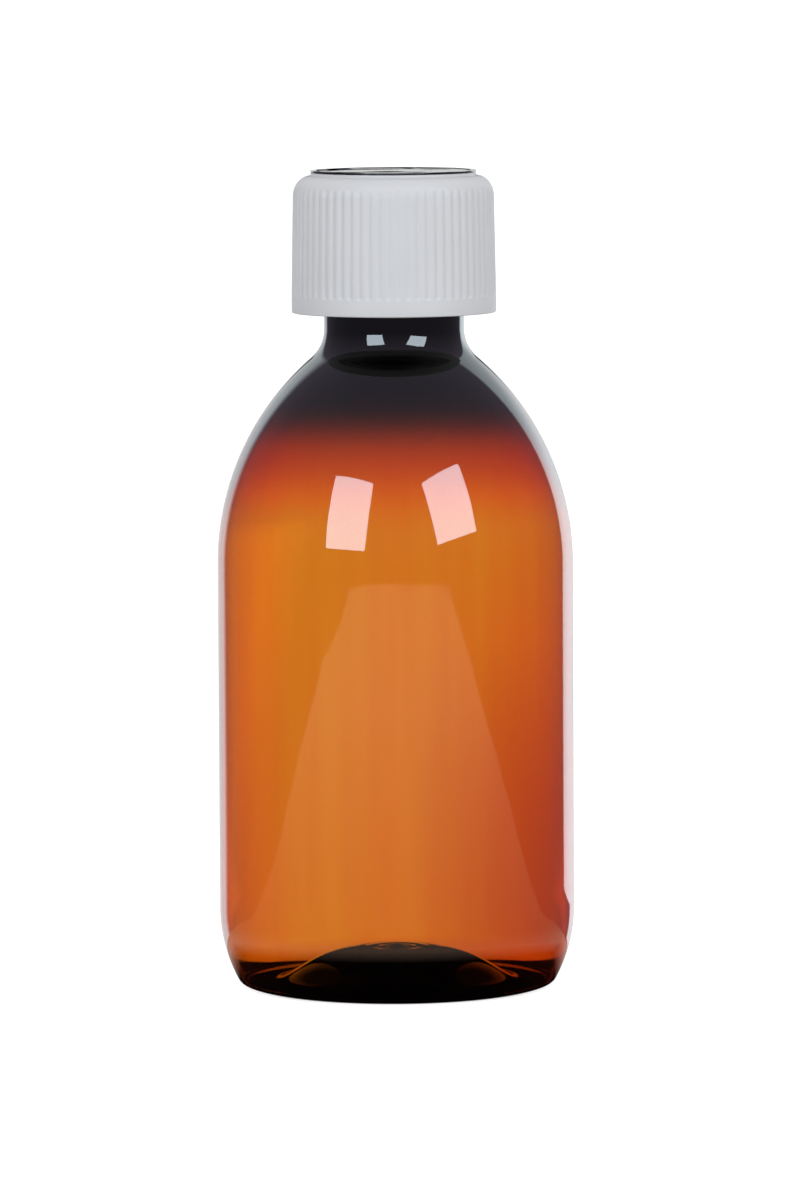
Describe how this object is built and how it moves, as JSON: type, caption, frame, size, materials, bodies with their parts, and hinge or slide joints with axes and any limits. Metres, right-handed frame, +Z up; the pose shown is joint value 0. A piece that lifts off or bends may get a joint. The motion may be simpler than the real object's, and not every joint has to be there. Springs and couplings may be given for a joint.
{
  "type": "medicine bottle with push-and-turn cap",
  "caption": "Round amber plastic medicine bottle with a white ribbed push-and-turn screw cap, a foam liner and a clear window over a printed card on top.",
  "frame": {"origin": "centre of the standing ring, on the surface that the bottle stands on", "axes": "+Z up along the bottle's axis, through the cap; the part is round, and -Y is its front"},
  "size_m": [0.061, 0.061, 0.1399],
  "materials": {
    "amber_pet": "transparent amber PET, polished, darker where the wall is thick at the neck and base",
    "outer_white": "satin injection-moulded white polypropylene",
    "inner_white": "satin injection-moulded white polypropylene",
    "foam_liner": "closed-cell polyethylene foam wad",
    "printed_card": "dark printed card with two plain turn arrows and no lettering",
    "clear_window": "clear polished polystyrene"
  },
  "bodies": {
    "bottle": {"bottle": "amber_pet"},
    "liner": {"cap_liner": "foam_liner"},
    "threaded_cap": {"inner_cap": "inner_white"},
    "spring": {"spring_fingers": "outer_white"},
    "ribbed_cap": {"outer_cap": "outer_white", "instruction_card": "printed_card", "top_window": "clear_window"}
  },
  "joints": [
    {"name": "cap_rise", "type": "slide", "parent": "bottle", "child": "liner", "axis": [0, 0, 1], "range_m": [0, 0.02011]},
    {"name": "cap_turn", "type": "hinge", "parent": "liner", "child": "threaded_cap", "pos_m": [0, 0, 0.126], "axis": [0, 0, 1], "range_deg": [0, 1710]},
    {"name": "shell_spin", "type": "hinge", "parent": "threaded_cap", "child": "spring", "pos_m": [0, 0, 0.13], "axis": [0, 0, 1], "continuous": true},
    {"name": "push_down", "type": "slide", "parent": "spring", "child": "ribbed_cap", "axis": [0, 0, -1], "range_m": [0, 0.0015], "stiffness_N_per_m": 8000, "springref_m": -0.00003, "deforming": ["spring_fingers"]}
  ],
  "couplings": [
    {"joint": "cap_rise", "follows": "cap_turn", "m_per_rad": 0.00067376}
  ]
}
